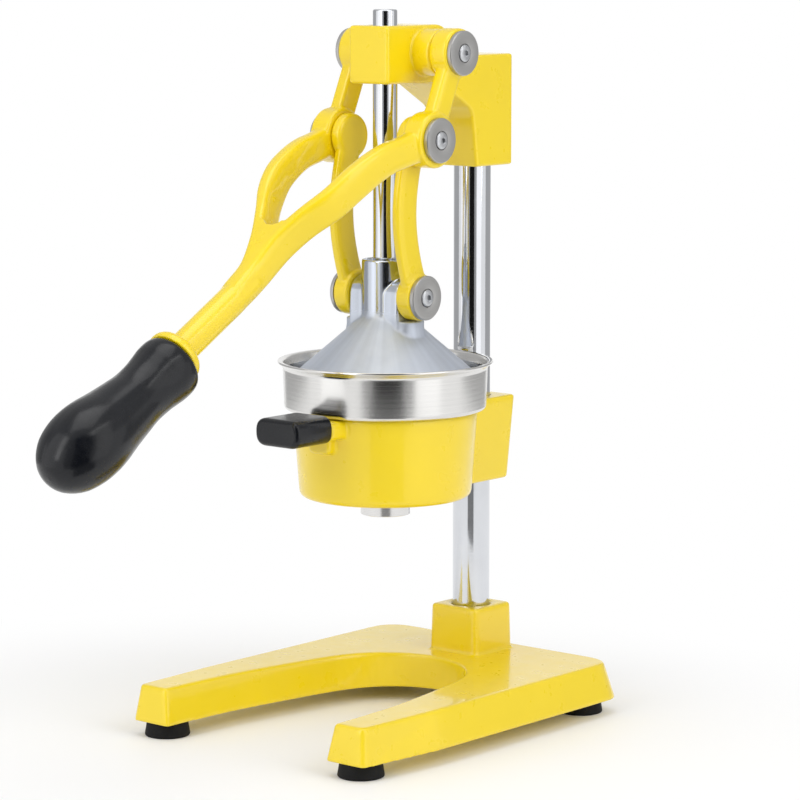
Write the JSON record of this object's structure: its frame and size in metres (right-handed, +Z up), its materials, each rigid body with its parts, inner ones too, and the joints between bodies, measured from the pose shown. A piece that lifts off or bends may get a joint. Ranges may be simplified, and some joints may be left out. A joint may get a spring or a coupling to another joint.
{
  "type": "lever citrus press",
  "caption": "Table-top press for citrus halves: a long lever pushes a bell down a rod's line onto a ribbed reamer in a steel cup on a cast stand.",
  "frame": {"origin": "middle of the footprint, on the floor under the feet", "axes": "+X to the user's right, -Y towards the user and the lever's grip, +Z up"},
  "size_m": [0.212, 0.432, 0.4694],
  "materials": {
    "yellow_enamel": "glossy yellow enamel on cast metal",
    "chrome_plate": "mirror plated",
    "satin_steel": "satin",
    "polished_aluminium": "cast, polished",
    "zinc_steel": "zinc plated",
    "black_plastic": "glossy moulded",
    "black_rubber": "matte",
    "nylon": "matte"
  },
  "bodies": {
    "stand": {"base_casting": "yellow_enamel", "foot_front_right": "black_rubber", "foot_screw_front_right": "zinc_steel", "foot_front_left": "black_rubber", "foot_screw_front_left": "zinc_steel", "foot_rear_right": "black_rubber", "foot_screw_rear_right": "zinc_steel", "foot_rear_left": "black_rubber", "foot_screw_rear_left": "zinc_steel", "column_tube": "chrome_plate", "column_plug": "zinc_steel", "column_bolt": "zinc_steel", "column_washer": "zinc_steel", "head_casting": "yellow_enamel", "head_set_screw_lower": "zinc_steel", "head_set_screw_upper": "zinc_steel", "rod_bush": "nylon", "bowl_arm_casting": "yellow_enamel", "bowl_set_screw_lower": "zinc_steel", "bowl_set_screw_upper": "zinc_steel", "side_grip": "black_plastic", "side_grip_stud": "zinc_steel", "juice_cup": "satin_steel", "cup_funnel": "satin_steel", "cup_spout": "satin_steel", "strainer": "satin_steel", "head_pivot_screw_right": "zinc_steel", "head_pivot_screw_left": "zinc_steel", "head_pivot_washer_right": "satin_steel", "head_pivot_washer_left": "satin_steel", "head_pivot_bush_right": "zinc_steel", "head_pivot_bush_left": "zinc_steel"},
    "lever": {"lever_casting": "yellow_enamel", "lever_grip": "black_plastic", "middle_pivot_screw_right": "zinc_steel", "middle_pivot_screw_left": "zinc_steel", "middle_pivot_washer_right": "satin_steel", "middle_pivot_washer_left": "satin_steel", "middle_pivot_bush_right": "zinc_steel", "middle_pivot_bush_left": "zinc_steel"},
    "bell": {"bell_casting": "polished_aluminium", "guide_rod": "chrome_plate", "rod_set_screw": "zinc_steel", "bell_pivot_screw_right": "zinc_steel", "bell_pivot_screw_left": "zinc_steel", "bell_pivot_washer_right": "satin_steel", "bell_pivot_washer_left": "satin_steel", "bell_pivot_bush_right": "zinc_steel", "bell_pivot_bush_left": "zinc_steel"},
    "links": {"link_right": "yellow_enamel", "link_left": "yellow_enamel"}
  },
  "joints": [
    {"name": "lever_swing", "type": "hinge", "parent": "stand", "child": "lever", "pos_m": [0, 0.11234, 0.4416], "axis": [-1, 0, 0], "range_deg": [0, 95]},
    {"name": "bell_slide", "type": "slide", "parent": "stand", "child": "bell", "axis": [0, 0, 1], "range_m": [0, 0.0889]},
    {"name": "links_swing", "type": "hinge", "parent": "bell", "child": "links", "pos_m": [0, 0.09104, 0.2845], "axis": [1, 0, 0], "range_deg": [0, 16]}
  ],
  "couplings": [
    {"joint": "bell_slide", "follows": "lever_swing", "m_per_rad": 0.053524},
    {"joint": "links_swing", "follows": "lever_swing", "ratio": 0.16746}
  ]
}
